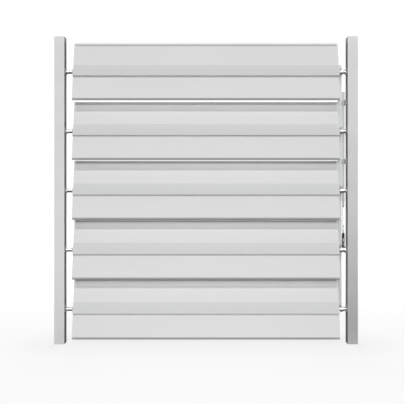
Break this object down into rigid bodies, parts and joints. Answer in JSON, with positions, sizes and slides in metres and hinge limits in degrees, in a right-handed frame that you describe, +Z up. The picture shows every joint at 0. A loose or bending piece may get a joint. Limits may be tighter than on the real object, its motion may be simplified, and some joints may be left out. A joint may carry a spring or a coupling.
{
  "type": "louvre screen",
  "caption": "Free-standing louvre screen: wide pivoting blades between two square posts, turned together by a tie bar and a linear actuator.",
  "frame": {"origin": "ground level, midway between the two posts, at the centre of the anchor hole pattern", "axes": "+Z up, +X along the blades towards the drive side, -Y towards the front"},
  "size_m": [2.96, 0.1789, 3],
  "materials": {
    "post_coat": "satin powder coat",
    "blade_coat": "satin powder coat",
    "spine_coat": "satin anodised",
    "rubber": "matt",
    "steel": "brushed",
    "cast": "satin black",
    "tube": "anodised",
    "chrome": "polished",
    "bearing": "moulded"
  },
  "bodies": {
    "frame": {"left_post": "post_coat", "right_post": "post_coat", "post_caps": "post_coat", "foot_plates": "steel", "bearings": "bearing", "bearing_screws": "steel", "actuator_body": "tube", "actuator_brackets": "steel", "bracket_screws": "steel"},
    "blade_1": {"blade_1_upper_panel": "blade_coat", "blade_1_lower_panel": "blade_coat", "blade_1_spine": "spine_coat", "blade_1_edge_strip": "spine_coat", "blade_1_seals": "rubber", "blade_1_end_caps": "spine_coat", "blade_1_shafts": "steel", "blade_1_crank": "steel"},
    "blade_2": {"blade_2_upper_panel": "blade_coat", "blade_2_lower_panel": "blade_coat", "blade_2_spine": "spine_coat", "blade_2_edge_strip": "spine_coat", "blade_2_seals": "rubber", "blade_2_end_caps": "spine_coat", "blade_2_shafts": "steel", "blade_2_crank": "steel"},
    "blade_3": {"blade_3_upper_panel": "blade_coat", "blade_3_lower_panel": "blade_coat", "blade_3_spine": "spine_coat", "blade_3_edge_strip": "spine_coat", "blade_3_seals": "rubber", "blade_3_end_caps": "spine_coat", "blade_3_shafts": "steel", "blade_3_crank": "steel"},
    "blade_4": {"blade_4_upper_panel": "blade_coat", "blade_4_lower_panel": "blade_coat", "blade_4_spine": "spine_coat", "blade_4_edge_strip": "spine_coat", "blade_4_seals": "rubber", "blade_4_end_caps": "spine_coat", "blade_4_shafts": "steel", "blade_4_crank": "steel", "drive_lever": "steel"},
    "blade_5": {"blade_5_upper_panel": "blade_coat", "blade_5_lower_panel": "blade_coat", "blade_5_spine": "spine_coat", "blade_5_edge_strip": "spine_coat", "blade_5_seals": "rubber", "blade_5_end_caps": "spine_coat", "blade_5_shafts": "steel", "blade_5_crank": "steel"},
    "tie_bar": {"tie_bar": "tube", "tie_bar_pins": "steel"},
    "drive_rod": {"actuator_rod": "chrome", "fork": "cast", "fork_pin": "steel"}
  },
  "joints": [
    {"name": "blade_4_tilt", "type": "hinge", "parent": "frame", "child": "blade_4", "pos_m": [0, 0, 0.9156], "axis": [-1, 0, 0], "range_deg": [-10.5, 75]},
    {"name": "blade_1_tilt", "type": "hinge", "parent": "frame", "child": "blade_1", "pos_m": [0, 0, 2.6598], "axis": [-1, 0, 0], "range_deg": [-10.5, 75]},
    {"name": "blade_2_tilt", "type": "hinge", "parent": "frame", "child": "blade_2", "pos_m": [0, 0, 2.0784], "axis": [-1, 0, 0], "range_deg": [-10.5, 75]},
    {"name": "blade_3_tilt", "type": "hinge", "parent": "frame", "child": "blade_3", "pos_m": [0, 0, 1.497], "axis": [-1, 0, 0], "range_deg": [-10.5, 75]},
    {"name": "blade_5_tilt", "type": "hinge", "parent": "frame", "child": "blade_5", "pos_m": [0, 0, 0.3342], "axis": [-1, 0, 0], "range_deg": [-10.5, 75]},
    {"name": "tie_bar_swing", "type": "hinge", "parent": "blade_4", "child": "tie_bar", "pos_m": [1.329, 0.0592, 0.95295], "axis": [-1, 0, 0], "range_deg": [-75, 10.5]},
    {"name": "rod_slide", "type": "slide", "parent": "frame", "child": "drive_rod", "axis": [0, 0, -1], "range_m": [-0.018, 0.123]}
  ],
  "couplings": [
    {"joint": "blade_1_tilt", "follows": "blade_4_tilt", "ratio": 1},
    {"joint": "blade_2_tilt", "follows": "blade_4_tilt", "ratio": 1},
    {"joint": "blade_3_tilt", "follows": "blade_4_tilt", "ratio": 1},
    {"joint": "blade_5_tilt", "follows": "blade_4_tilt", "ratio": 1},
    {"joint": "tie_bar_swing", "follows": "blade_4_tilt", "ratio": -1},
    {"joint": "rod_slide", "follows": "blade_4_tilt", "m_per_rad": 0.0936}
  ]
}
